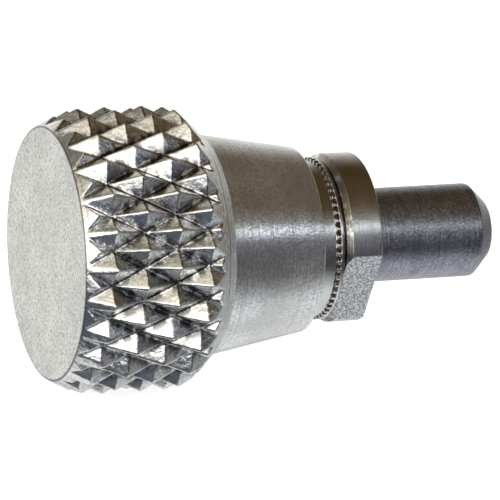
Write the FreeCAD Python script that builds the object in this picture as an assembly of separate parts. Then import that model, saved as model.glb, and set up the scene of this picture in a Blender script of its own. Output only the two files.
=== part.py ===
# Spring plunger that locks the telescoping tube of a knee kicker.
# A knurled pull knob is screwed onto the stem of a steel pin. The pin slides in a steel
# guide sleeve, and a compression spring inside the sleeve drives the pin's nose out.
# Every piece is turned about the Z axis, with the knob up and the collar's seat face at Z = 0,
# and then laid down: in the finished part the nose points along +X and the knob along -X.
# Origin: centre of the collar's seat face. All sizes are in millimetres.
import FreeCAD
import Part

import math
import os

Vector = FreeCAD.Vector
AXIS = Vector(0, 0, 1)
CENTRE = Vector(0, 0, 0)

# Driving dimensions
NOSE_RADIUS = 3.175            # 1/4 in locking pin
NOSE_LENGTH = 9.49             # how far the pin stands out of the seat face
CREST_RADIUS = 9.59            # over the knurl's points
KNOB_FACE_Z = 21.82            # outer end of the knob
SKIRT_END_Z = 4.29             # open end of the knob's skirt

# Pin
NOSE_CHAMFER = 1.17            # 45 degrees at the tip
LAND_RADIUS = 3.60             # guided length inside the sleeve
LAND_TOP_Z = 3.2               # the spring bears here
STEM_RADIUS = 2.0
THREAD_LENGTH = 3.4            # stem screwed into the knob
THREAD_BITE = 0.02             # radial, stem into the knob's tapped hole
STEM_LEAD = 0.3                # chamfer on the stem's end

# Guide sleeve
BARREL_RADIUS = 5.32
BARREL_TOP_Z = 17.0
WEB_THICKNESS = 1.8            # end web that the spring pushes against
GUIDE_CLEARANCE = 0.05         # radial, land in bore and stem in web
COLLAR_RADIUS = 5.71
COLLAR_HEIGHT = 2.09
COLLAR_CHAMFER = 0.36
FLAT_DISTANCE = 4.87           # from the axis to each wrench flat
FLAT_ANGLE = 53.6              # degrees about the axis to the first flat's normal
UNDERCUT_RADIUS = 5.02
UNDERCUT_TOP_Z = 2.66
SERRATION_RADIUS = 5.50
SERRATION_TOP_Z = 3.22
SERRATION_COUNT = 60
SERRATION_DEPTH = 0.16

# Knob
FACE_RADIUS = 8.47
CHAMFER_BACK_Z = 19.80         # where the front chamfer reaches the knurl's points
KNURL_END_Z = 13.25
SHOULDER_FOOT_Z = 11.09
SHOULDER_FOOT_RADIUS = 7.46
SKIRT_END_RADIUS = 6.26
SKIRT_CLEARANCE = 0.20         # radial, skirt bore over barrel
SKIRT_LIP = 0.12               # small break at the skirt's rim
STOP_GAP = 0.02                # knob to barrel end at rest

# Diamond knurl: right-hand and left-hand V grooves that leave four-sided points
KNURL_STARTS = 24
KNURL_PITCH_Z = 4.40           # from point to point along the axis
KNURL_DEPTH = 1.06
KNURL_POINT_Z = 17.58          # height of one ring of points
KNURL_TURN = 5.6               # degrees about the axis to a point of that ring
SPLIT_Z = 11.60                # below the knurl's valleys: plain turned body from here down

# Spring
WIRE_RADIUS = 0.30
COIL_RADIUS = 2.62
COIL_TURNS = 8
STEPS_PER_TURN = 16
GROUND_END = 0.02              # gap between the spring and its two seats

GUIDE_RADIUS = LAND_RADIUS + GUIDE_CLEARANCE
WEB_Z = BARREL_TOP_Z - WEB_THICKNESS
CEILING_Z = BARREL_TOP_Z + STOP_GAP
STEM_TOP_Z = CEILING_Z + THREAD_LENGTH


def turned(points):
    """Solid of revolution of a closed (radius, z) outline about the axis."""
    corners = [Vector(r, 0, z) for r, z in points]
    outline = Part.makePolygon(corners + [corners[0]])
    return Part.Face(outline).revolve(CENTRE, AXIS, 360)


def cylinder(radius, low, high):
    return Part.makeCylinder(radius, high - low, Vector(0, 0, low), AXIS)


def make_plunger_pin():
    """Nose, guide land with the spring's shoulder, and the stem that the knob is screwed onto."""
    tip = -NOSE_LENGTH
    return turned([
        (0, tip),
        (NOSE_RADIUS - NOSE_CHAMFER, tip),
        (NOSE_RADIUS, tip + NOSE_CHAMFER),
        (NOSE_RADIUS, 0),
        (LAND_RADIUS, 0),
        (LAND_RADIUS, LAND_TOP_Z),
        (STEM_RADIUS, LAND_TOP_Z),
        (STEM_RADIUS, STEM_TOP_Z - STEM_LEAD),
        (STEM_RADIUS - STEM_LEAD, STEM_TOP_Z),
        (0, STEM_TOP_Z),
    ])


def make_serrations():
    """V cuts that leave the ring of fine axial teeth beside the collar."""
    root = SERRATION_RADIUS - SERRATION_DEPTH
    outer = SERRATION_RADIUS + SERRATION_DEPTH
    half_angle = math.pi / SERRATION_COUNT
    overhang = 0.05
    low = UNDERCUT_TOP_Z + (SERRATION_TOP_Z - UNDERCUT_TOP_Z) * 0.45
    high = SERRATION_TOP_Z + overhang
    notch = Part.makePolygon([
        Vector(root, 0, low),
        Vector(outer * math.cos(half_angle), outer * math.sin(half_angle), low),
        Vector(outer * math.cos(half_angle), -outer * math.sin(half_angle), low),
        Vector(root, 0, low),
    ])
    cut = Part.Face(notch).extrude(Vector(0, 0, high - low))
    cuts = []
    for index in range(SERRATION_COUNT):
        turned_cut = cut.copy()
        turned_cut.rotate(CENTRE, AXIS, 360 * index / SERRATION_COUNT)
        cuts.append(turned_cut)
    return cuts


def make_flat_cuts():
    """Two blocks that mill the wrench flats across the collar's full height."""
    reach = COLLAR_RADIUS * 2
    top = UNDERCUT_TOP_Z - 0.2
    cuts = []
    for turn in (0, 180):
        block = Part.makeBox(reach, 2 * reach, top + 1, Vector(FLAT_DISTANCE, -reach, -1))
        block.rotate(CENTRE, AXIS, FLAT_ANGLE + turn)
        cuts.append(block)
    return cuts


def make_guide_sleeve():
    """Barrel, serrated ring, undercut and flatted collar, bored for the pin and its spring."""
    chamfer_top = COLLAR_HEIGHT + COLLAR_CHAMFER
    break_edge = 0.12
    bore_lead = 0.3
    web_bore = STEM_RADIUS + GUIDE_CLEARANCE
    body = turned([
        (GUIDE_RADIUS + bore_lead, 0),
        (COLLAR_RADIUS - break_edge, 0),
        (COLLAR_RADIUS, break_edge),
        (COLLAR_RADIUS, COLLAR_HEIGHT),
        (COLLAR_RADIUS - COLLAR_CHAMFER, chamfer_top),
        (UNDERCUT_RADIUS, chamfer_top),
        (UNDERCUT_RADIUS, UNDERCUT_TOP_Z),
        (SERRATION_RADIUS, UNDERCUT_TOP_Z),
        (SERRATION_RADIUS, SERRATION_TOP_Z),
        (BARREL_RADIUS, SERRATION_TOP_Z),
        (BARREL_RADIUS, BARREL_TOP_Z - bore_lead),
        (BARREL_RADIUS - bore_lead, BARREL_TOP_Z),
        (web_bore, BARREL_TOP_Z),
        (web_bore, WEB_Z),
        (GUIDE_RADIUS, WEB_Z),
        (GUIDE_RADIUS, bore_lead),
    ])
    body = body.cut(make_serrations())
    return body.cut(make_flat_cuts())


def knurl_point(radius, column, z):
    """A corner of the knurl, where columns are half a groove spacing apart."""
    turn = math.radians(KNURL_TURN) + column * math.pi / KNURL_STARTS
    return Vector(radius * math.cos(turn), radius * math.sin(turn), z)


def triangle(a, b, c):
    return Part.Face(Part.makePolygon([a, b, c, a]))


def make_diamond(column, z, has_below, has_above, cap_z):
    """Flat sides of one four-sided point; an end row is closed to the axis instead."""
    root = CREST_RADIUS - KNURL_DEPTH
    half_pitch = KNURL_PITCH_Z / 2
    crest = knurl_point(CREST_RADIUS, column, z)
    left = knurl_point(root, column - 1, z)
    right = knurl_point(root, column + 1, z)
    sides = []
    if has_below:
        below = knurl_point(root, column, z - half_pitch)
        sides += [triangle(crest, left, below), triangle(crest, below, right)]
    if has_above:
        above = knurl_point(root, column, z + half_pitch)
        sides += [triangle(crest, right, above), triangle(crest, above, left)]
    if not (has_below and has_above):
        hub = Vector(0, 0, cap_z)
        sides += [triangle(hub, right, crest), triangle(hub, crest, left)]
    return sides


def make_knurl_band():
    """Closed shell of flat triangles, with a four-sided point wherever the ridges cross."""
    half_pitch = KNURL_PITCH_Z / 2
    rows_down = math.ceil((KNURL_POINT_Z - SPLIT_Z) / half_pitch)
    rows_up = math.ceil((KNOB_FACE_Z - KNURL_POINT_Z) / half_pitch) + 1
    faces = []
    for row in range(-rows_down, rows_up + 1):
        z = KNURL_POINT_Z + row * half_pitch
        for column in range(row % 2, 2 * KNURL_STARTS, 2):
            faces += make_diamond(column, z, row > -rows_down, row < rows_up, z)
    shell = Part.makeShell(faces)
    shell.sewShape()
    solid = Part.makeSolid(shell)
    if solid.Volume < 0:
        solid.reverse()
    return solid


def make_knurled_head():
    """Head of the knob: the knurl band turned down to the front chamfer and the shoulder."""
    slope = (CREST_RADIUS - SHOULDER_FOOT_RADIUS) / (KNURL_END_Z - SHOULDER_FOOT_Z)
    split_radius = SHOULDER_FOOT_RADIUS + slope * (SPLIT_Z - SHOULDER_FOOT_Z)
    proud = 0.05
    outline = turned([
        (0, SPLIT_Z),
        (split_radius, SPLIT_Z),
        (CREST_RADIUS + slope * proud, KNURL_END_Z + proud),
        (CREST_RADIUS + slope * proud, CHAMFER_BACK_Z),
        (FACE_RADIUS, KNOB_FACE_Z),
        (0, KNOB_FACE_Z),
    ])
    return make_knurl_band().common(outline)


def make_tapered_skirt():
    """Turned body below the knurl: the foot of the shoulder and the skirt with its broken rim."""
    slope = (CREST_RADIUS - SHOULDER_FOOT_RADIUS) / (KNURL_END_Z - SHOULDER_FOOT_Z)
    split_radius = SHOULDER_FOOT_RADIUS + slope * (SPLIT_Z - SHOULDER_FOOT_Z)
    return turned([
        (0, SKIRT_END_Z),
        (SKIRT_END_RADIUS - SKIRT_LIP, SKIRT_END_Z),
        (SKIRT_END_RADIUS, SKIRT_END_Z + SKIRT_LIP),
        (SHOULDER_FOOT_RADIUS, SHOULDER_FOOT_Z),
        (split_radius, SPLIT_Z),
        (0, SPLIT_Z),
    ])


def make_knob():
    """Pull knob, bored to slide over the barrel and tapped for the pin's stem."""
    solid = make_knurled_head().fuse(make_tapered_skirt()).removeSplitter()
    bore = cylinder(BARREL_RADIUS + SKIRT_CLEARANCE, SKIRT_END_Z - 1, CEILING_Z)
    tapped_hole = cylinder(STEM_RADIUS - THREAD_BITE, CEILING_Z - 1, STEM_TOP_Z + STEM_LEAD)
    return solid.cut([bore, tapped_hole])


def make_compression_spring():
    """Round wire wound between the pin's shoulder and the sleeve's end web, in short mitred lengths."""
    low = LAND_TOP_Z + GROUND_END + WIRE_RADIUS
    high = WEB_Z - GROUND_END - WIRE_RADIUS
    steps = COIL_TURNS * STEPS_PER_TURN
    corners = []
    for step in range(steps + 1):
        turn = 2 * math.pi * step / STEPS_PER_TURN
        rise = (high - low) * step / steps
        corners.append(Vector(COIL_RADIUS * math.cos(turn), COIL_RADIUS * math.sin(turn), low + rise))
    section = Part.makeCircle(WIRE_RADIUS, corners[0], corners[1] - corners[0])
    mitred = 1
    return Part.makePolygon(corners).makePipeShell([Part.Wire(section)], True, False, mitred)


def laid_down(shape):
    """The piece's one solid, turned so that its knob end points along -X."""
    if len(shape.Solids) != 1 or not shape.isValid():
        raise ValueError("a piece is not one valid solid")
    solid = shape.Solids[0]
    solid.rotate(CENTRE, Vector(0, 1, 0), -90)
    return solid


def main():
    pieces = {
        "knob": make_knob(),
        "guide_sleeve": make_guide_sleeve(),
        "plunger_pin": make_plunger_pin(),
        "compression_spring": make_compression_spring(),
    }
    os.makedirs("parts", exist_ok=True)
    for name, shape in pieces.items():
        laid_down(shape).exportStep("parts/" + name + ".step")


main()
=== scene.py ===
import math

import bmesh
import bpy
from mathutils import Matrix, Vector


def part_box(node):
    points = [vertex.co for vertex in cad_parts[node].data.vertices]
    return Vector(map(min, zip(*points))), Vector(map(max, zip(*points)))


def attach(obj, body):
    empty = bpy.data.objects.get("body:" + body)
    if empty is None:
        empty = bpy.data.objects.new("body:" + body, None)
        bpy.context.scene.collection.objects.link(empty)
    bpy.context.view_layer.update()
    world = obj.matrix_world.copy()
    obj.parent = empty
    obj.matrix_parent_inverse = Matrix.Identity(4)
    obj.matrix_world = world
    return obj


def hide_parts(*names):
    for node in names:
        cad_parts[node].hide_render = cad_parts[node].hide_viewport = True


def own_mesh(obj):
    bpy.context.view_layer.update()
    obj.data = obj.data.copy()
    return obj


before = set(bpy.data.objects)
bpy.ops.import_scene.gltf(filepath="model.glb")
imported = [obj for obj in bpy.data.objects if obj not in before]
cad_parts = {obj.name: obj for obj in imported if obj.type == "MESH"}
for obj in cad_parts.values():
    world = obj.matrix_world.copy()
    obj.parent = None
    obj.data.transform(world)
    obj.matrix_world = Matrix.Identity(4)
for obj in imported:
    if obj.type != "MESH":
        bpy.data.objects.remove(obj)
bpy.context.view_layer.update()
print("frame loaded:", sorted(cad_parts))

mm = 0.001
knobLow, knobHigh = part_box("knob")
sleeveLow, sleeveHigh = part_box("guide_sleeve")
pinLow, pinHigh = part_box("plunger_pin")
springLow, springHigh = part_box("compression_spring")

# The plunger lies along X: the knob's face looks to -X and the pin's nose to +X.
# Angles about the axis are counted from the front (-Y) downwards.


def addNode(tree, kind, **settings):
    node = tree.nodes.new(kind)
    for name, value in settings.items():
        setattr(node, name, value)
    return node


def feed(tree, socket, value):
    # a number is set on the socket, anything else is linked to it
    if isinstance(value, (int, float, tuple)):
        socket.default_value = value
    else:
        tree.links.new(value, socket)


def calc(tree, operation, *values):
    node = addNode(tree, "ShaderNodeMath", operation=operation)
    for socket, value in zip(node.inputs, values):
        feed(tree, socket, value)
    return node.outputs[0]


def newTree(name, values):
    # one named input for each value, all plain numbers
    tree = bpy.data.node_groups.new(name, "GeometryNodeTree")
    tree.is_modifier = True
    tree.interface.new_socket("Geometry", in_out="INPUT", socket_type="NodeSocketGeometry")
    for label in values:
        tree.interface.new_socket(label, in_out="INPUT", socket_type="NodeSocketFloat")
    tree.interface.new_socket("Geometry", in_out="OUTPUT", socket_type="NodeSocketGeometry")
    return tree, addNode(tree, "NodeGroupInput").outputs


def finishTree(tree, mesh, material):
    # every tree ends the same way: smooth shading, real geometry and its material
    shade = addNode(tree, "GeometryNodeSetShadeSmooth")
    tree.links.new(mesh, shade.inputs["Geometry"])
    realize = addNode(tree, "GeometryNodeRealizeInstances")
    tree.links.new(shade.outputs[0], realize.inputs[0])
    paint = addNode(tree, "GeometryNodeSetMaterial")
    paint.inputs["Material"].default_value = material
    tree.links.new(realize.outputs[0], paint.inputs["Geometry"])
    tree.links.new(paint.outputs[0], addNode(tree, "NodeGroupOutput").inputs[0])


def turnOutline(tree, inputs, rule):
    # spins the outline's points about X: one grid column per angle, one row per outline point
    outline = inputs["Geometry"]
    size = addNode(tree, "GeometryNodeAttributeDomainSize")
    tree.links.new(outline, size.inputs[0])
    rows = size.outputs["Point Count"]
    grid = addNode(tree, "GeometryNodeMeshGrid")
    feed(tree, grid.inputs["Vertices X"], calc(tree, "ADD", inputs["Columns"], 1.0))
    feed(tree, grid.inputs["Vertices Y"], rows)
    index = addNode(tree, "GeometryNodeInputIndex").outputs[0]
    column = calc(tree, "FLOOR", calc(tree, "DIVIDE", calc(tree, "ADD", index, 0.5), rows))
    row = calc(tree, "SUBTRACT", index, calc(tree, "MULTIPLY", column, rows))
    angle = calc(tree, "MULTIPLY", calc(tree, "DIVIDE", column, inputs["Columns"]), math.tau)
    sample = addNode(tree, "GeometryNodeSampleIndex", data_type="FLOAT_VECTOR", domain="POINT")
    tree.links.new(outline, sample.inputs["Geometry"])
    tree.links.new(addNode(tree, "GeometryNodeInputPosition").outputs[0], sample.inputs["Value"])
    tree.links.new(row, sample.inputs["Index"])
    split = addNode(tree, "ShaderNodeSeparateXYZ")
    tree.links.new(sample.outputs[0], split.inputs[0])
    along, work, radius = split.outputs["X"], split.outputs["Y"], split.outputs["Z"]
    radius, marks = rule(tree, inputs, angle, along, radius, work)
    place = addNode(tree, "ShaderNodeCombineXYZ")
    tree.links.new(along, place.inputs["X"])
    minus = calc(tree, "MULTIPLY", radius, -1.0)
    feed(tree, place.inputs["Y"], calc(tree, "MULTIPLY", minus, calc(tree, "COSINE", angle)))
    feed(tree, place.inputs["Z"], calc(tree, "MULTIPLY", minus, calc(tree, "SINE", angle)))
    mesh = grid.outputs["Mesh"]
    for name, value in marks.items():
        store = addNode(tree, "GeometryNodeStoreNamedAttribute", data_type="FLOAT", domain="POINT")
        store.inputs["Name"].default_value = name
        tree.links.new(mesh, store.inputs["Geometry"])
        feed(tree, store.inputs["Value"], value)
        mesh = store.outputs[0]
    move = addNode(tree, "GeometryNodeSetPosition")
    tree.links.new(mesh, move.inputs["Geometry"])
    tree.links.new(place.outputs[0], move.inputs["Position"])
    weld = addNode(tree, "GeometryNodeMergeByDistance")
    weld.inputs["Distance"].default_value = 0.0008 * mm
    tree.links.new(move.outputs[0], weld.inputs["Geometry"])
    return weld.outputs[0]


def zigzag(tree, value):
    # 1 at whole numbers, 0 halfway between them
    part = calc(tree, "FRACT", value)
    return calc(tree, "ABSOLUTE", calc(tree, "SUBTRACT", calc(tree, "MULTIPLY", part, 2.0), 1.0))


def outlinePoints(corners, closed=False):
    # corners are (x, radius, rounding, step to the next corner), all in metres
    count = len(corners)
    points = []
    for i, (x, r, rounding, step) in enumerate(corners):
        here = Vector((x, r))
        ends = not closed and i in (0, count - 1)
        before = Vector(corners[i - 1][:2])
        after = Vector(corners[(i + 1) % count][:2])
        arc = [here] if ends or not rounding else roundCorner(before, here, after, rounding)
        if points and (i or closed):
            points += divide(points[-1], arc[0], corners[i - 1][3])
        points += arc
    if closed:
        points += divide(points[-1], points[0], corners[-1][3])
        points.append(points[0])
    return points


def roundCorner(before, corner, after, radius, steps=4):
    into = (corner - before).normalized()
    out = (after - corner).normalized()
    turn = into.angle(out)
    cut = radius * math.tan(turn / 2)
    start, end = corner - into * cut, corner + out * cut
    # a quadratic arc through the corner's two tangent points
    found = []
    for k in range(steps + 1):
        t = k / steps
        found.append(start * (1 - t) ** 2 + corner * 2 * t * (1 - t) + end * t ** 2)
    return found


def divide(a, b, step):
    # inner points of a straight run, with one close to each end to hold its shading
    length = (b - a).length
    hold = min(0.06 * mm, length / 3)
    inner = [hold / length] if length > 0.15 * mm else []
    pieces = max(1, round(length / step))
    inner += [k / pieces for k in range(1, pieces)]
    inner += [1 - hold / length] if length > 0.15 * mm else []
    return [a.lerp(b, t) for t in sorted(inner)]


def buildPiece(name, points, tree, values, work=lambda x, r: 0):
    # a named tree works on the outline, and its result is kept as a plain mesh
    outline = bpy.data.meshes.new(name + "Outline")
    outline.from_pydata([(x, work(x, r), r) for x, r in points], [], [])
    source = bpy.data.objects.new(name + "Outline", outline)
    bpy.context.scene.collection.objects.link(source)
    modifier = source.modifiers.new(name, "NODES")
    modifier.node_group = tree
    for item in tree.interface.items_tree:
        if item.in_out == "INPUT" and item.name in values:
            modifier[item.identifier] = float(values[item.name])
    bpy.context.view_layer.update()
    shape = source.evaluated_get(bpy.context.evaluated_depsgraph_get())
    mesh = bpy.data.meshes.new_from_object(shape)
    mesh.name = name
    bpy.data.objects.remove(source)
    piece = bpy.data.objects.new(name, mesh)
    bpy.context.scene.collection.objects.link(piece)
    faceOutwards(mesh)
    print(name, "has", len(mesh.polygons), "faces")
    return piece


def turnPiece(name, outline, values, rule, material, work=lambda x, r: 0):
    tree, inputs = newTree(name, values)
    finishTree(tree, turnOutline(tree, inputs, rule), material)
    return buildPiece(name, outline, tree, values, work)


def faceOutwards(mesh):
    work = bmesh.new()
    work.from_mesh(mesh)
    bmesh.ops.dissolve_degenerate(work, dist=0.0004 * mm, edges=work.edges)
    if work.calc_volume(signed=True) < 0:
        bmesh.ops.reverse_faces(work, faces=work.faces)
    work.to_mesh(mesh)
    work.free()


# Helpers for materials. Every texture reads Object coordinates or the piece's own attributes.


def shadeNode(tree, kind, inputs=None, **settings):
    node = addNode(tree, kind, **settings)
    for name, value in (inputs or {}).items():
        feed(tree, node.inputs[name], value)
    return node


def blendValue(tree, factor, low, high):
    node = shadeNode(tree, "ShaderNodeMapRange", {"Value": factor, "To Min": low, "To Max": high})
    return node.outputs[0]


def blendColour(tree, factor, first, second):
    node = addNode(tree, "ShaderNodeMix", data_type="RGBA")
    feed(tree, node.inputs["Factor"], factor)
    for socket, colour in zip((node.inputs[6], node.inputs[7]), (first, second)):
        feed(tree, socket, (*colour, 1.0) if isinstance(colour, tuple) else colour)
    return node.outputs[2]


def between(tree, value, start, end):
    # 0 before start, 1 after end, soft in the middle
    inputs = {"Value": value, "From Min": start, "From Max": end}
    return shadeNode(tree, "ShaderNodeMapRange", inputs, interpolation_type="SMOOTHSTEP").outputs[0]


def noise(tree, vector, scale, detail=3.0):
    inputs = {"Vector": vector, "Scale": scale, "Detail": detail}
    return shadeNode(tree, "ShaderNodeTexNoise", inputs).outputs["Fac"]


def attribute(tree, name):
    return addNode(tree, "ShaderNodeAttribute", attribute_name=name).outputs["Fac"]


def latheCoords(tree, place, stretch):
    # along the axis, out from it, and a little round it, so noise becomes tool lines
    split = shadeNode(tree, "ShaderNodeSeparateXYZ", {"Vector": place}).outputs
    square = calc(tree, "ADD", calc(tree, "MULTIPLY", split[1], split[1]),
                  calc(tree, "MULTIPLY", split[2], split[2]))
    radius = calc(tree, "SQRT", square)
    around = calc(tree, "MULTIPLY", split[1], stretch)
    rise = calc(tree, "MULTIPLY", split[2], stretch)
    inputs = {"X": calc(tree, "ADD", split[0], around), "Y": calc(tree, "ADD", radius, rise)}
    return shadeNode(tree, "ShaderNodeCombineXYZ", inputs).outputs[0], split[0], radius


def startMetal(name):
    material = bpy.data.materials.new(name)
    material.use_nodes = True
    tree = material.node_tree
    shader = tree.nodes["Principled BSDF"]
    shader.inputs["Metallic"].default_value = 1.0
    place = addNode(tree, "ShaderNodeTexCoord").outputs["Object"]
    return material, tree, shader, place


def bumpUp(tree, shader, layers):
    # layers are (height, depth in metres, strength), stacked one on another
    normal = None
    for height, depth, strength in layers:
        inputs = {"Height": height, "Distance": depth, "Strength": strength}
        node = shadeNode(tree, "ShaderNodeBump", inputs)
        if normal is not None:
            tree.links.new(normal, node.inputs["Normal"])
        normal = node.outputs[0]
    tree.links.new(normal, shader.inputs["Normal"])


# the knob: a knurled aluminium head with a tapered skirt
knob = {
    "crestRadius": knobHigh.z,
    "faceRadius": 8.47 * mm,
    "chamferBack": knobLow.x + 2.02 * mm,
    "knurlEnd": knobLow.x + 8.57 * mm,
    "shoulderFoot": (knobLow.x + 10.73 * mm, 7.46 * mm),
    "skirtEnd": (knobHigh.x, 6.26 * mm),
    "boreRadius": 5.52 * mm,
    "boreDepth": knobLow.x + 4.80 * mm,
    "rightStarts": 24,            # the two knurl wheels track a groove apart
    "leftStarts": 23,
    "rightPitch": 4.604 * mm,     # axial step from groove to groove
    "leftPitch": 4.302 * mm,
    "rightPhase": 3.409,
    "leftPhase": -4.579,
    "knurlDepth": 1.06 * mm,
    "rounding": 0.10 * mm,
    "unevenness": 0.060 * mm,     # how rough the cut flanks are
    "seed": 7.0,
    "columns": 600,
    "bright": (0.80, 0.80, 0.79),
    "tarnished": (0.60, 0.585, 0.56),
    "mottled": (0.42, 0.41, 0.39),
    "face": (0.83, 0.83, 0.80),
    "faceDark": (0.36, 0.37, 0.35),
    "facePit": (0.12, 0.12, 0.11),
    # dirt and painted shade: darkens the knurl grooves in patches and paints a dark line at the
    # face's rim
    "dirtAndShade": (0.07, 0.058, 0.055),
    "knurlRoughness": 0.11,
    "skirtRoughness": 0.15,
    "faceRoughness": 0.50,
    "lineTilt": 0.02,             # how far tool lines run out of true round the axis
    "lineScale": 7500.0,          # noise scales are per metre
    "mottleScale": 5200.0,
    "speckleScale": 3800.0,
    "sandScale": 8500.0,
    "dentScale": 1900.0,
    "dentDepth": 0.085 * mm,
    "lineDepth": 0.012 * mm,
    "grainDepth": 0.014 * mm,
}


def knurlRule(tree, inputs, angle, along, radius, work):
    # two opposite screw grooves cross and leave four-sided points between them
    turns = calc(tree, "DIVIDE", angle, math.tau)
    grooves = []
    for side, lean in (("Right", "ADD"), ("Left", "SUBTRACT")):
        count = calc(tree, "MULTIPLY", turns, inputs[side + " Starts"])
        count = calc(tree, "ADD", count, inputs[side + " Phase"])
        climb = calc(tree, "DIVIDE", along, inputs[side + " Pitch"])
        grooves.append(zigzag(tree, calc(tree, lean, count, climb)))
    lowest = addNode(tree, "ShaderNodeMath", operation="SMOOTH_MIN")
    for socket, value in zip(lowest.inputs, (*grooves, 0.05)):
        feed(tree, socket, value)
    groove = calc(tree, "SUBTRACT", 1.0, lowest.outputs[0])
    groove = calc(tree, "MAXIMUM", groove, 0.045)
    spot = {
        "X": along,
        "Y": calc(tree, "MULTIPLY", radius, calc(tree, "COSINE", angle)),
        "Z": calc(tree, "MULTIPLY", radius, calc(tree, "SINE", angle)),
    }
    place = shadeNode(tree, "ShaderNodeCombineXYZ", spot).outputs[0]
    chatter = shadeNode(tree, "ShaderNodeTexNoise", {
        "Vector": place, "W": inputs["Seed"], "Scale": 420.0, "Detail": 4.0, "Roughness": 0.62,
    }, noise_dimensions="4D").outputs["Fac"]
    uneven = calc(tree, "MULTIPLY", calc(tree, "SUBTRACT", chatter, 0.5), inputs["Unevenness"])
    cut = calc(tree, "MULTIPLY", groove, inputs["Knurl Depth"])
    knurled = calc(tree, "ADD", calc(tree, "SUBTRACT", inputs["Crest Radius"], cut), uneven)
    soft = addNode(tree, "ShaderNodeMath", operation="SMOOTH_MIN")
    for socket, value in zip(soft.inputs, (radius, knurled, inputs["Rounding"])):
        feed(tree, socket, value)
    extra = calc(tree, "SUBTRACT", soft.outputs[0], radius)
    result = calc(tree, "ADD", radius, calc(tree, "MULTIPLY", extra, work))
    depth = calc(tree, "DIVIDE", calc(tree, "MULTIPLY", extra, -1.0), inputs["Knurl Depth"])
    return result, {"groove": calc(tree, "MULTIPLY", depth, work), "knurled": work}


def knobMaterial():
    material, tree, shader, place = startMetal("turnedAluminium")
    lathe, along, radius = latheCoords(tree, place, knob["lineTilt"])
    groove = attribute(tree, "groove")
    knurled = attribute(tree, "knurled")
    onFace = between(tree, along, knobLow.x + 0.06 * mm, knobLow.x + 0.005 * mm)
    cloud = between(tree, noise(tree, place, 330.0, 4.0), 0.35, 0.68)
    speckle = between(tree, noise(tree, place, knob["speckleScale"], 5.0), 0.36, 0.66)
    lines = noise(tree, lathe, knob["lineScale"], 4.0)
    broad = noise(tree, lathe, 1100.0, 2.0)
    plain = blendColour(tree, cloud, knob["bright"], knob["tarnished"])
    plain = blendColour(tree, between(tree, lines, 0.45, 0.70), plain, knob["tarnished"])
    mottle = between(tree, noise(tree, place, knob["mottleScale"], 4.0), 0.42, 0.62)
    mottle = calc(tree, "MULTIPLY", mottle, blendValue(tree, knurled, 0.55, 0.10))
    plain = blendColour(tree, mottle, plain, knob["mottled"])
    # dirt and painted shade: the deepest parts of the knurl grooves are darkened in patches
    grooveDirtAndShade = calc(tree, "MULTIPLY", between(tree, groove, 0.44, 0.96),
                  between(tree, noise(tree, place, 1500.0, 5.0), 0.40, 0.56))
    plain = blendColour(tree, calc(tree, "MULTIPLY", grooveDirtAndShade, 0.92), plain, knob["dirtAndShade"])
    sand = between(tree, noise(tree, place, knob["sandScale"], 3.0), 0.40, 0.74)
    pits = between(tree, noise(tree, place, 5200.0, 4.0), 0.61, 0.68)
    matt = blendColour(tree, sand, knob["face"], knob["faceDark"])
    matt = blendColour(tree, calc(tree, "MULTIPLY", cloud, 0.25), matt, knob["faceDark"])
    matt = blendColour(tree, calc(tree, "MULTIPLY", pits, 0.6), matt, knob["facePit"])
    # painted shade: a thin dark line where the faced end meets the chamfer
    rimShade = calc(tree, "MULTIPLY", between(tree, radius, 8.34 * mm, 8.41 * mm),
               between(tree, along, knobLow.x + 0.10 * mm, knobLow.x + 0.04 * mm))
    colour = blendColour(tree, onFace, plain, matt)
    colour = blendColour(tree, calc(tree, "MULTIPLY", rimShade, 0.7), colour, knob["dirtAndShade"])
    tree.links.new(colour, shader.inputs["Base Color"])
    # the plain turned surfaces scatter a little light, the cut knurl hardly any
    tree.links.new(blendValue(tree, knurled, 0.93, 1.0), shader.inputs["Metallic"])
    skirtRoughness, knurlRoughness = knob["skirtRoughness"], knob["knurlRoughness"]
    satin = blendValue(tree, lines, skirtRoughness - 0.05, skirtRoughness + 0.09)
    shiny = blendValue(tree, speckle, knurlRoughness - 0.05, knurlRoughness + 0.12)
    mixed = blendValue(tree, knurled, satin, shiny)
    faced = blendValue(tree, onFace, mixed, knob["faceRoughness"])
    tree.links.new(faced, shader.inputs["Roughness"])
    turned = calc(tree, "SUBTRACT", 1.0, knurled)
    dents = noise(tree, place, knob["dentScale"], 6.0)
    bumpUp(tree, shader, [
        (calc(tree, "MULTIPLY", broad, turned), knob["lineDepth"] / 2, 0.3),
        (calc(tree, "MULTIPLY", lines, turned), knob["lineDepth"], 0.8),
        (noise(tree, place, 2600.0, 5.0), knob["lineDepth"], 0.5),
        (noise(tree, place, 7500.0, 3.0), knob["grainDepth"], 0.7),
        (calc(tree, "MULTIPLY", dents, knurled), knob["dentDepth"], 0.9),
    ])
    return material


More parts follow.
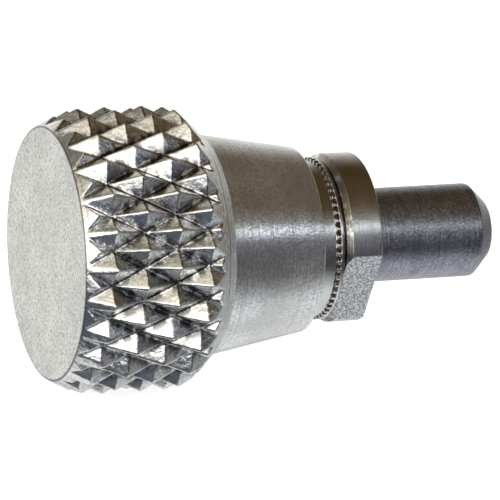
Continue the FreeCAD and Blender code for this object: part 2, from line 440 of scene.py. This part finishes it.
def makeKnob():
    k = knob
    fine, coarse = 0.10 * mm, 0.6 * mm
    outline = outlinePoints([
        (knobLow.x, 0, 0, 2.1 * mm),
        (knobLow.x, k["faceRadius"], 0.10 * mm, fine),
        (k["chamferBack"], k["crestRadius"], 0, fine),
        (k["knurlEnd"], k["crestRadius"], 0, 0.13 * mm),
        (*k["shoulderFoot"], 0.35 * mm, coarse),
        (*k["skirtEnd"], 0.12 * mm, coarse),
        (k["skirtEnd"][0], k["boreRadius"], 0.08 * mm, 4 * mm),
        (k["boreDepth"], k["boreRadius"], 0.2 * mm, 2 * mm),
        (k["boreDepth"], 0, 0, 1 * mm),
    ])
    values = {
        "Columns": k["columns"], "Right Starts": k["rightStarts"], "Left Starts": k["leftStarts"],
        "Right Pitch": k["rightPitch"], "Left Pitch": k["leftPitch"],
        "Right Phase": k["rightPhase"], "Left Phase": k["leftPhase"],
        "Crest Radius": k["crestRadius"], "Knurl Depth": k["knurlDepth"],
        "Rounding": k["rounding"], "Unevenness": k["unevenness"], "Seed": k["seed"],
    }

    def work(x, r):
        # the knurl is cut on the outside, well short of the skirt
        return 1.0 if x < k["shoulderFoot"][0] - 0.6 * mm and r > 8.0 * mm else 0.0

    piece = turnPiece("knurledKnob", outline, values, knurlRule, knobMaterial(), work)
    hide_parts("knob")
    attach(piece, "plunger")


# the guide sleeve: a flatted collar, a serrated ring and a barrel
sleeve = {
    "seatFace": 0.0,
    "collarRadius": 5.71 * mm,
    "collarBack": -2.09 * mm,
    "collarFoot": (-2.45 * mm, 5.35 * mm),
    "undercut": (-2.62 * mm, 5.02 * mm),
    "ringRadius": 5.50 * mm,
    "ringEnd": -3.12 * mm,
    "teethStart": -2.83 * mm,
    "teeth": 60,
    "toothDepth": 0.17 * mm,
    "barrelRadius": 5.32 * mm,
    "barrelEnd": sleeveLow.x,
    "boreRadius": 3.65 * mm,
    "webFace": sleeveLow.x + 1.80 * mm,
    "webBore": 2.05 * mm,
    "flatDistance": 4.87 * mm,
    "flatTurn": math.radians(-143.6),
    "columns": 720,
    "bright": (0.70, 0.685, 0.66),
    "stained": (0.50, 0.47, 0.43),
    "milled": (0.80, 0.79, 0.79),
    "milledDark": (0.28, 0.27, 0.275),
    # painted shade: darkens the notches between the teeth and the undercut
    "groove": (0.10, 0.08, 0.06),
    "roughness": 0.20,
    "milledRoughness": 0.42,
    "lineTilt": 0.015,
    "lineScale": 6400.0,
    "cutterCentre": (0.004, 0.006, -0.011),
    "cutterScale": 3300.0,
    "swirlScale": 7200.0,
    "grainDepth": 0.014 * mm,
}


def sleeveRule(tree, inputs, angle, along, radius, work):
    # work is 1 on the toothed rows and 2 on the rows that the flats are milled across
    count = calc(tree, "DIVIDE", calc(tree, "MULTIPLY", angle, inputs["Teeth"]), math.tau)
    teeth = zigzag(tree, count)
    bite = calc(tree, "MULTIPLY", calc(tree, "POWER", teeth, 2.2), inputs["Tooth Depth"])
    onTeeth = calc(tree, "COMPARE", work, 1.0, 0.1)
    onFlat = calc(tree, "COMPARE", work, 2.0, 0.1)
    lean = calc(tree, "COSINE", calc(tree, "SUBTRACT", angle, inputs["Flat Turn"]))
    lean = calc(tree, "MAXIMUM", calc(tree, "ABSOLUTE", lean), 0.05)
    chord = calc(tree, "DIVIDE", inputs["Flat Distance"], lean)
    flatted = calc(tree, "MINIMUM", radius, chord)
    milled = calc(tree, "GREATER_THAN", calc(tree, "SUBTRACT", radius, flatted), 0.000001)
    milled = calc(tree, "MULTIPLY", milled, onFlat)
    result = calc(tree, "SUBTRACT", radius, calc(tree, "MULTIPLY", bite, onTeeth))
    result = calc(tree, "SUBTRACT", result,
                  calc(tree, "MULTIPLY", calc(tree, "SUBTRACT", radius, flatted), onFlat))
    return result, {"milled": milled, "groove": calc(tree, "MULTIPLY", teeth, onTeeth)}


def sleeveMaterial():
    material, tree, shader, place = startMetal("turnedSteel")
    lathe, along = latheCoords(tree, place, sleeve["lineTilt"])[:2]
    milled = attribute(tree, "milled")
    groove = attribute(tree, "groove")
    cloud = between(tree, noise(tree, place, 380.0, 4.0), 0.35, 0.70)
    lines = noise(tree, lathe, sleeve["lineScale"], 4.0)
    # milling leaves arcs: rings about a far-off cutter centre
    reach = shadeNode(tree, "ShaderNodeVectorMath", {0: place, 1: sleeve["cutterCentre"]},
                      operation="DISTANCE").outputs["Value"]
    arcs = shadeNode(tree, "ShaderNodeCombineXYZ", {"X": reach}).outputs[0]
    cutter = noise(tree, arcs, sleeve["cutterScale"], 3.0)
    swirl = noise(tree, place, sleeve["swirlScale"], 6.0)
    plain = blendColour(tree, cloud, sleeve["bright"], sleeve["stained"])
    plain = blendColour(tree, between(tree, lines, 0.52, 0.74), plain, sleeve["stained"])
    # painted shade: the notches between the teeth are darkened by their depth
    plain = blendColour(tree, between(tree, groove, 0.15, 0.70), plain, sleeve["groove"])
    # painted shade: the band from the collar's back into the undercut is darkened in patches
    undercutShade = calc(tree, "MULTIPLY", between(tree, along, -2.02 * mm, -2.12 * mm),
                between(tree, along, -2.74 * mm, -2.66 * mm))
    undercutShade = calc(tree, "MULTIPLY", undercutShade, between(tree, noise(tree, place, 1500.0, 3.0), 0.25, 0.5))
    plain = blendColour(tree, calc(tree, "MULTIPLY", undercutShade, 0.75), plain, sleeve["groove"])
    cut = blendColour(tree, between(tree, swirl, 0.35, 0.65),
                      sleeve["milled"], sleeve["milledDark"])
    tree.links.new(blendColour(tree, milled, plain, cut), shader.inputs["Base Color"])
    roughness, milledRoughness = sleeve["roughness"], sleeve["milledRoughness"]
    satin = blendValue(tree, lines, roughness - 0.05, roughness + 0.10)
    dull = blendValue(tree, swirl, milledRoughness - 0.10, milledRoughness + 0.10)
    tree.links.new(blendValue(tree, milled, satin, dull), shader.inputs["Roughness"])
    bumpUp(tree, shader, [
        (calc(tree, "MULTIPLY", cutter, milled), 0.030 * mm, 0.5),
        (calc(tree, "MULTIPLY", swirl, milled), 0.022 * mm, 0.5),
        (calc(tree, "MULTIPLY", lines, calc(tree, "SUBTRACT", 1.0, milled)), 0.006 * mm, 0.7),
        (noise(tree, place, 2400.0, 4.0), 0.010 * mm, 0.5),
        (noise(tree, place, 7500.0, 3.0), sleeve["grainDepth"], 0.7),
    ])
    return material


def makeSleeve():
    s = sleeve
    fine, coarse = 0.07 * mm, 1.5 * mm
    outline = outlinePoints([
        (s["seatFace"], s["boreRadius"] + 0.3 * mm, 0, 0.25 * mm),
        (s["seatFace"], s["collarRadius"], 0.12 * mm, 0.15 * mm),
        (s["collarBack"], s["collarRadius"], 0.03 * mm, 0.03 * mm),
        (*s["collarFoot"], 0, fine),
        (s["collarFoot"][0], s["undercut"][1], 0.04 * mm, fine),
        (*s["undercut"], 0.04 * mm, 0.12 * mm),
        (s["undercut"][0], s["ringRadius"], 0.06 * mm, 0.1 * mm),
        (s["teethStart"], s["ringRadius"], 0, 0.01 * mm),
        (s["teethStart"] - 0.02 * mm, s["ringRadius"], 0, 0.04 * mm),
        (s["ringEnd"], s["ringRadius"], 0.06 * mm, 0.03 * mm),
        (s["ringEnd"], s["barrelRadius"], 0, coarse),
        (s["barrelEnd"], s["barrelRadius"], 0.3 * mm, coarse),
        (s["barrelEnd"], s["webBore"], 0.1 * mm, coarse),
        (s["webFace"], s["webBore"], 0, coarse),
        (s["webFace"], s["boreRadius"], 0, 3 * mm),
        (s["seatFace"] - 0.3 * mm, s["boreRadius"], 0, 0.15 * mm),
    ], closed=True)
    values = {
        "Columns": s["columns"], "Teeth": s["teeth"], "Tooth Depth": s["toothDepth"],
        "Flat Distance": s["flatDistance"], "Flat Turn": s["flatTurn"],
    }

    def work(x, r):
        # 2 where the flats are milled, 1 on the toothed rows
        if x > s["collarFoot"][0] - 0.005 * mm and r > s["undercut"][1] - 0.5 * mm:
            return 2.0
        toothed = s["ringEnd"] - 0.01 * mm < x < s["teethStart"] - 0.01 * mm
        return 1.0 if toothed and r > s["barrelRadius"] + 0.01 * mm else 0.0

    piece = turnPiece("guideSleeve", outline, values, sleeveRule, sleeveMaterial(), work)
    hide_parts("guide_sleeve")
    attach(piece, "sleeve")


# the plunger pin, in ground steel
pin = {
    "tip": pinHigh.x,
    "noseRadius": 3.175 * mm,
    "noseChamfer": 1.17 * mm,
    "landRadius": 3.60 * mm,
    "landEnd": -3.20 * mm,
    "stemRadius": 2.0 * mm,
    "stemEnd": pinLow.x,
    "columns": 288,
    "bright": (0.36, 0.36, 0.40),
    "dark": (0.24, 0.235, 0.265),
    "lined": (0.20, 0.20, 0.22),
    "speck": (0.50, 0.50, 0.54),
    "roughness": 0.27,
    "metallic": 0.985,
    "lineTilt": 0.03,
    "lineScale": 6500.0,
    "blotchScale": 4200.0,
    "speckScale": 9000.0,
}


def plainRule(tree, inputs, angle, along, radius, work):
    return radius, {}


def pinMaterial():
    material, tree, shader, place = startMetal("groundSteel")
    lathe = latheCoords(tree, place, pin["lineTilt"])[0]
    cloud = between(tree, noise(tree, place, 900.0, 5.0), 0.30, 0.72)
    lines = noise(tree, lathe, pin["lineScale"], 4.0)
    blotch = noise(tree, place, pin["blotchScale"], 5.0)
    specks = between(tree, noise(tree, place, pin["speckScale"], 3.0), 0.5, 0.7)
    colour = blendColour(tree, cloud, pin["bright"], pin["dark"])
    colour = blendColour(tree, between(tree, lines, 0.42, 0.70), colour, pin["lined"])
    colour = blendColour(tree, specks, colour, pin["speck"])
    shader.inputs["Metallic"].default_value = pin["metallic"]
    tree.links.new(colour, shader.inputs["Base Color"])
    satin = blendValue(tree, blotch, pin["roughness"] - 0.08, pin["roughness"] + 0.14)
    tree.links.new(satin, shader.inputs["Roughness"])
    bumpUp(tree, shader, [(lines, 0.014 * mm, 0.8), (blotch, 0.026 * mm, 0.8)])
    return material


def makePin():
    p = pin
    outline = outlinePoints([
        (p["tip"], 0, 0, 1 * mm),
        (p["tip"], p["noseRadius"] - p["noseChamfer"], 0.15 * mm, 0.3 * mm),
        (p["tip"] - p["noseChamfer"], p["noseRadius"], 0.25 * mm, 1 * mm),
        (0, p["noseRadius"], 0.02 * mm, 0.1 * mm),
        (0, p["landRadius"], 0.05 * mm, 1 * mm),
        (p["landEnd"], p["landRadius"], 0.05 * mm, 1 * mm),
        (p["landEnd"], p["stemRadius"], 0.1 * mm, 3 * mm),
        (p["stemEnd"], p["stemRadius"], 0.3 * mm, 1 * mm),
        (p["stemEnd"], 0, 0, 1 * mm),
    ])
    piece = turnPiece("plungerPin", outline, {"Columns": p["columns"]}, plainRule, pinMaterial())
    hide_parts("plunger_pin")
    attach(piece, "plunger")


# the compression spring: round wire with closed ends
spring = {
    "wireRadius": 0.30 * mm,
    "coilRadius": 2.62 * mm,
    "coils": 8,
    "steps": 64,
    "seat": springHigh.x,
    "farEnd": springLow.x,
    "sides": 12,
    "wire": (0.52, 0.50, 0.47),
    "wireDark": (0.30, 0.27, 0.24),
}


def springTree(values, material):
    tree, inputs = newTree("compressionSpring", values)
    count = calc(tree, "ADD", calc(tree, "MULTIPLY", inputs["Coils"], inputs["Steps"]), 1.0)
    line = addNode(tree, "GeometryNodeMeshLine")
    tree.links.new(count, line.inputs["Count"])
    index = addNode(tree, "GeometryNodeInputIndex").outputs[0]
    turns = calc(tree, "DIVIDE", index, inputs["Steps"])
    angle = calc(tree, "MULTIPLY", turns, math.tau)
    # the first and last coils lie closed, a wire's thickness apart
    wire = calc(tree, "MULTIPLY", inputs["Wire Radius"], 2.0)
    inner = calc(tree, "SUBTRACT", inputs["Length"], calc(tree, "MULTIPLY", wire, 2.0))
    pitch = calc(tree, "DIVIDE", inner, calc(tree, "SUBTRACT", inputs["Coils"], 2.0))
    closed = calc(tree, "MINIMUM", turns, 1.0)
    last = calc(tree, "SUBTRACT", inputs["Coils"], 1.0)
    opened = calc(tree, "MINIMUM", calc(tree, "MAXIMUM", turns, 1.0), last)
    opened = calc(tree, "SUBTRACT", opened, 1.0)
    final = calc(tree, "SUBTRACT", calc(tree, "MAXIMUM", turns, last), last)
    rise = calc(tree, "ADD", calc(tree, "MULTIPLY", wire, calc(tree, "ADD", closed, final)),
                calc(tree, "MULTIPLY", pitch, opened))
    place = shadeNode(tree, "ShaderNodeCombineXYZ", {
        "X": calc(tree, "SUBTRACT", inputs["Start"], rise),
        "Y": calc(tree, "MULTIPLY", inputs["Coil Radius"], calc(tree, "COSINE", angle)),
        "Z": calc(tree, "MULTIPLY", inputs["Coil Radius"], calc(tree, "SINE", angle))})
    move = addNode(tree, "GeometryNodeSetPosition")
    tree.links.new(line.outputs[0], move.inputs["Geometry"])
    tree.links.new(place.outputs[0], move.inputs["Position"])
    path = addNode(tree, "GeometryNodeMeshToCurve")
    tree.links.new(move.outputs[0], path.inputs[0])
    section = addNode(tree, "GeometryNodeCurvePrimitiveCircle")
    section.inputs["Resolution"].default_value = spring["sides"]
    tree.links.new(inputs["Wire Radius"], section.inputs["Radius"])
    tube = addNode(tree, "GeometryNodeCurveToMesh")
    tube.inputs["Fill Caps"].default_value = True
    tree.links.new(path.outputs[0], tube.inputs["Curve"])
    tree.links.new(section.outputs[0], tube.inputs["Profile Curve"])
    finishTree(tree, tube.outputs[0], material)
    return tree


def springMaterial():
    material, tree, shader, place = startMetal("springWire")
    blotch = noise(tree, place, 1400.0, 4.0)
    stain = between(tree, blotch, 0.35, 0.65)
    colour = blendColour(tree, stain, spring["wire"], spring["wireDark"])
    tree.links.new(colour, shader.inputs["Base Color"])
    tree.links.new(blendValue(tree, blotch, 0.22, 0.42), shader.inputs["Roughness"])
    bumpUp(tree, shader, [(noise(tree, place, 5000.0, 3.0), 0.006 * mm, 0.5)])
    return material


def makeSpring():
    s = spring
    values = {
        "Coils": s["coils"], "Steps": s["steps"], "Coil Radius": s["coilRadius"],
        "Wire Radius": s["wireRadius"], "Start": s["seat"] - s["wireRadius"],
        "Length": s["seat"] - s["farEnd"] - 2 * s["wireRadius"],
    }
    tree = springTree(values, springMaterial())
    piece = buildPiece("compressionSpring", [(0, 0)], tree, values)
    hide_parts("compression_spring")
    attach(piece, "spring")
    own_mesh(piece)


# the studio: a pale floor, a soft surround and the camera
studio = {
    "tilt": math.radians(9.63),   # the rings of colour start this far above level
    "floorDrop": 0.02 * mm,
    "floorSize": 0.6,
    "floorLight": 3.2,
    "brown": (0.078, 0.048, 0.017),
    "slate": (0.072, 0.071, 0.088),
    "streak": (0.62, 0.70, 0.82),
    "glint": (2.6, 2.8, 3.0),
    "soft": (0.86, 0.93, 0.97),
    "box": (2.5, 2.5, 2.42),
}

view = {
    "azimuth": math.radians(-20.37),
    "elevation": math.radians(9.04),
    "distance": 0.3317,
    "aside": 13.56 * mm,
    "below": 0.24 * mm,
    "lens": 360.0,
}


def makeFloor():
    size = studio["floorSize"] / 2
    level = -knobHigh.z - studio["floorDrop"]
    mesh = bpy.data.meshes.new("floor")
    corners = [(x * size, y * size, level) for x, y in ((-1, -1), (1, -1), (1, 1), (-1, 1))]
    mesh.from_pydata(corners, [], [(0, 1, 2, 3)])
    floor = bpy.data.objects.new("floor", mesh)
    bpy.context.scene.collection.objects.link(floor)
    material = bpy.data.materials.new("paleFloor")
    material.use_nodes = True
    tree = material.node_tree
    place = addNode(tree, "ShaderNodeTexCoord").outputs["Object"]
    paint = blendColour(tree, noise(tree, place, 12.0, 3.0), (0.86, 0.86, 0.86), (0.83, 0.83, 0.83))
    shader = tree.nodes["Principled BSDF"]
    tree.links.new(paint, shader.inputs["Base Color"])
    shader.inputs["Roughness"].default_value = 0.9
    shader.inputs["Specular IOR Level"].default_value = 0.0
    mesh.materials.append(material)
    floor.visible_glossy = False      # metal mirrors the surround's paper instead


def makeFloorLight():
    # lights the floor evenly; metal mirrors the surround instead
    lamp = bpy.data.lights.new("floorLight", "SUN")
    lamp.energy = studio["floorLight"]
    lamp.angle = math.radians(60)
    lamp.use_shadow = False
    light = bpy.data.objects.new("floorLight", lamp)
    bpy.context.scene.collection.objects.link(light)
    light.visible_glossy = False


def ring(tree, factor, stops):
    # colours by angle round the plunger's axis, in degrees from the front, downwards positive
    ramp = shadeNode(tree, "ShaderNodeValToRGB", {"Fac": factor})
    elements = ramp.color_ramp.elements
    while len(elements) > 1:
        elements.remove(elements[0])
    elements[0].position = 0.0
    elements[0].color = (*stops[0][1], 1.0)
    for degrees, colour in stops[1:]:
        stop = elements.new((degrees + 180) / 360)
        stop.color = (*colour, 1.0)
    return ramp.outputs[0]


def makeSurround():
    # a soft studio surround: dark room above, soft box in front, paper below and behind
    world = bpy.data.worlds.new("surround")
    bpy.context.scene.world = world
    world.use_nodes = True
    tree = world.node_tree
    direction = addNode(tree, "ShaderNodeTexCoord").outputs["Generated"]
    tilt = studio["tilt"]
    front = (0.0, -math.cos(tilt), math.sin(tilt))
    down = (0.0, -math.sin(tilt), -math.cos(tilt))
    towardsFront = shadeNode(tree, "ShaderNodeVectorMath", {0: direction, 1: front},
                             operation="DOT_PRODUCT").outputs["Value"]
    towardsDown = shadeNode(tree, "ShaderNodeVectorMath", {0: direction, 1: down},
                            operation="DOT_PRODUCT").outputs["Value"]
    around = calc(tree, "ARCTAN2", towardsDown, towardsFront)
    factor = calc(tree, "ADD", calc(tree, "DIVIDE", around, math.tau), 0.5)
    aside = calc(tree, "MULTIPLY", shadeNode(tree, "ShaderNodeSeparateXYZ",
                 {"Vector": direction}).outputs[0], -1.0)
    brown, slate, streak, glint, soft, box = (
        studio[k] for k in ("brown", "slate", "streak", "glint", "soft", "box"))
    white = (1.0, 1.0, 1.0)
    noseSide = ring(tree, factor, [
        (-180, (0.30, 0.31, 0.30)), (-150, (0.50, 0.50, 0.50)), (-114, (0.34, 0.33, 0.30)),
        (-86, (0.22, 0.18, 0.12)), (-45, (0.12, 0.09, 0.05)), (-20, (0.16, 0.14, 0.11)),
        (-11, streak), (0, (0.10, 0.10, 0.12)), (24, (0.09, 0.09, 0.11)),
        (40, (0.40, 0.41, 0.42)), (66, (0.24, 0.25, 0.26)), (104, (0.55, 0.58, 0.60)),
        (134, (0.55, 0.56, 0.57)), (160, (0.30, 0.31, 0.32)), (180, (0.30, 0.31, 0.30)),
    ])
    middle = ring(tree, factor, [
        (-180, (0.60, 0.60, 0.60)), (-164, white), (-150, (0.78, 0.77, 0.75)),
        (-130, (0.30, 0.28, 0.25)), (-112, brown), (-40, brown), (-26, (0.17, 0.15, 0.12)),
        (-15, (0.30, 0.32, 0.36)), (-11, glint), (-8, streak), (-3, (0.15, 0.16, 0.21)),
        (20, slate), (46, slate), (64, (0.42, 0.44, 0.47)), (84, soft),
        (150, (0.88, 0.90, 0.92)), (168, (0.52, 0.53, 0.55)), (180, (0.50, 0.50, 0.52)),
    ])
    knobSide = ring(tree, factor, [
        (-180, white), (-160, (1.4, 1.38, 1.34)), (-142, (1.2, 1.17, 1.1)),
        (-128, (0.24, 0.23, 0.21)), (-92, (0.20, 0.19, 0.17)), (-72, (0.50, 0.45, 0.35)),
        (-58, (0.98, 0.93, 0.80)), (-46, (0.98, 0.88, 0.66)), (-34, (1.2, 1.14, 1.02)),
        (-16, box), (14, box), (24, (0.9, 0.92, 0.95)), (34, (0.22, 0.24, 0.27)),
        (52, (0.11, 0.14, 0.18)), (88, (0.12, 0.125, 0.15)), (106, (0.65, 0.66, 0.68)),
        (134, (1.2, 1.2, 1.22)), (154, (0.45, 0.46, 0.48)), (172, white),
    ])
    sky = blendColour(tree, between(tree, aside, -0.86, -0.58), noseSide, middle)
    sky = blendColour(tree, between(tree, aside, -0.22, 0.02), sky, knobSide)
    # the room that the eye sees directly is plain white
    seen = addNode(tree, "ShaderNodeLightPath").outputs["Is Camera Ray"]
    sky = blendColour(tree, seen, sky, white)
    background = tree.nodes["Background"]
    tree.links.new(sky, background.inputs["Color"])


def makeCamera():
    a, e = view["azimuth"], view["elevation"]
    away = Vector((-math.sin(a) * math.cos(e), math.cos(a) * math.cos(e), -math.sin(e)))
    right = Vector((math.cos(a), math.sin(a), 0))
    up = right.cross(away)
    target = Vector((knobLow.x, 0, 0))
    spot = target - (right * -view["aside"] - up * view["below"] + away * view["distance"])
    data = bpy.data.cameras.new("camera")
    data.lens = view["lens"]
    data.clip_start = 0.01
    camera = bpy.data.objects.new("camera", data)
    bpy.context.scene.collection.objects.link(camera)
    camera.location = spot
    camera.rotation_euler = away.to_track_quat("-Z", "Y").to_euler()
    bpy.context.scene.camera = camera


makeFloor()
makeFloorLight()
makeSurround()
makeCamera()
print("studio ready")
makeKnob()
makeSleeve()
makePin()
makeSpring()
bpy.context.scene.view_settings.view_transform = "Standard"
